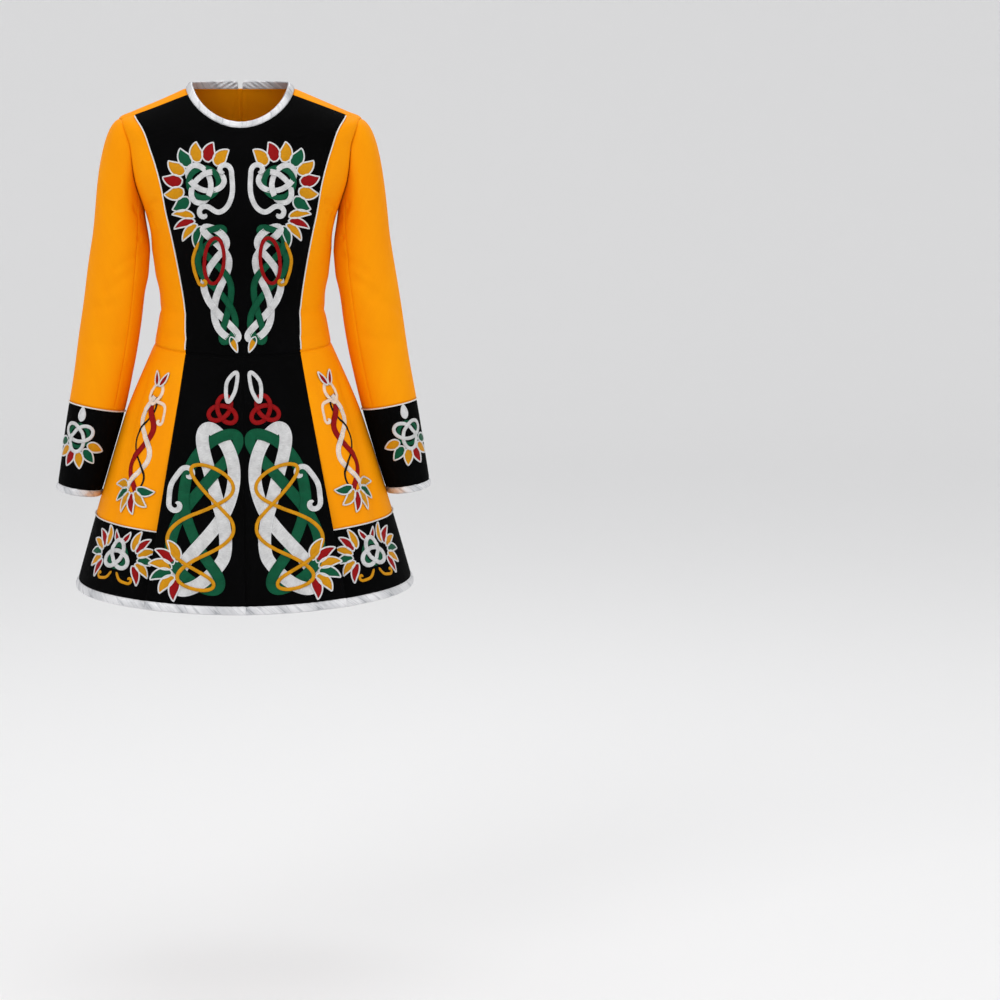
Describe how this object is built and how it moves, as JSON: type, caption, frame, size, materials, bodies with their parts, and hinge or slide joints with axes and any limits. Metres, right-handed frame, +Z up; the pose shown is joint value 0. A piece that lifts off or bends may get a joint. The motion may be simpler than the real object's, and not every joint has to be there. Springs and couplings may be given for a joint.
{
  "type": "irish dance dress",
  "caption": "Long-sleeved dance dress with a panelled bodice, flared stiff skirt, bound hems and a separate shawl hanging down the back, for a dancer to wear on stage.",
  "frame": {"origin": "middle of the neck opening at the height of the shoulder points, where the wearer's shoulders hold the dress up", "axes": "+Z up, the front of the dress faces -Y, the wearer's left arm is at +X"},
  "size_m": [0.5988, 0.4169, 0.8208],
  "materials": {
    "yellow_satin": "satin weave, soft sheen",
    "black_crepe": "matt crepe",
    "silver_lame": "crushed metallic lame",
    "white_piping": "matt woven cord",
    "gold_enamel": "gloss",
    "yellow_zip": "satin"
  },
  "bodies": {
    "garment": {"bodice_front": "black_crepe", "bodice_side_front_left": "yellow_satin", "bodice_side_front_right": "yellow_satin", "bodice_back_left": "yellow_satin", "bodice_back_right": "yellow_satin", "neck_binding": "silver_lame", "sleeve_top_left": "yellow_satin", "sleeve_top_right": "yellow_satin", "sleeve_under_left": "yellow_satin", "sleeve_under_right": "yellow_satin", "cuff_left": "black_crepe", "cuff_right": "black_crepe", "cuff_binding_left": "silver_lame", "cuff_binding_right": "silver_lame", "skirt_front_left": "black_crepe", "skirt_front_right": "black_crepe", "skirt_side_front_left": "yellow_satin", "skirt_side_front_right": "yellow_satin", "skirt_side_back_left": "yellow_satin", "skirt_side_back_right": "yellow_satin", "skirt_back_left": "yellow_satin", "skirt_back_right": "yellow_satin", "hem_band_side_front_left": "black_crepe", "hem_band_side_front_right": "black_crepe", "hem_band_side_back_left": "black_crepe", "hem_band_side_back_right": "black_crepe", "hem_band_back_left": "black_crepe", "hem_band_back_right": "black_crepe", "hem_binding_front_left": "silver_lame", "hem_binding_front_right": "silver_lame", "hem_binding_side_front_left": "silver_lame", "hem_binding_side_front_right": "silver_lame", "hem_binding_side_back_left": "silver_lame", "hem_binding_side_back_right": "silver_lame", "hem_binding_back_left": "silver_lame", "hem_binding_back_right": "silver_lame", "shawl_binding_left": "silver_lame", "shawl_binding_right": "silver_lame", "shawl_border_left": "yellow_satin", "shawl_border_right": "yellow_satin", "shawl_neck_border_left": "yellow_satin", "shawl_neck_border_right": "yellow_satin", "shawl_centre_left": "black_crepe", "shawl_centre_right": "black_crepe", "zip_slider": "yellow_zip", "bodice_piping_left": "white_piping", "bodice_piping_right": "white_piping", "cuff_piping_left": "white_piping", "cuff_piping_right": "white_piping", "band_piping_side_front_left": "white_piping", "band_piping_side_front_right": "white_piping", "band_piping_side_back_left": "white_piping", "band_piping_side_back_right": "white_piping", "band_piping_back_left": "white_piping", "band_piping_back_right": "white_piping"},
    "pull_tab": {"zip_pull_tab": "gold_enamel"}
  },
  "joints": [
    {"name": "pull_tab_hinge", "type": "hinge", "parent": "garment", "child": "pull_tab", "pos_m": [0, 0.06968, -0.00461], "axis": [1, 0, 0], "range_deg": [0, 150]}
  ]
}
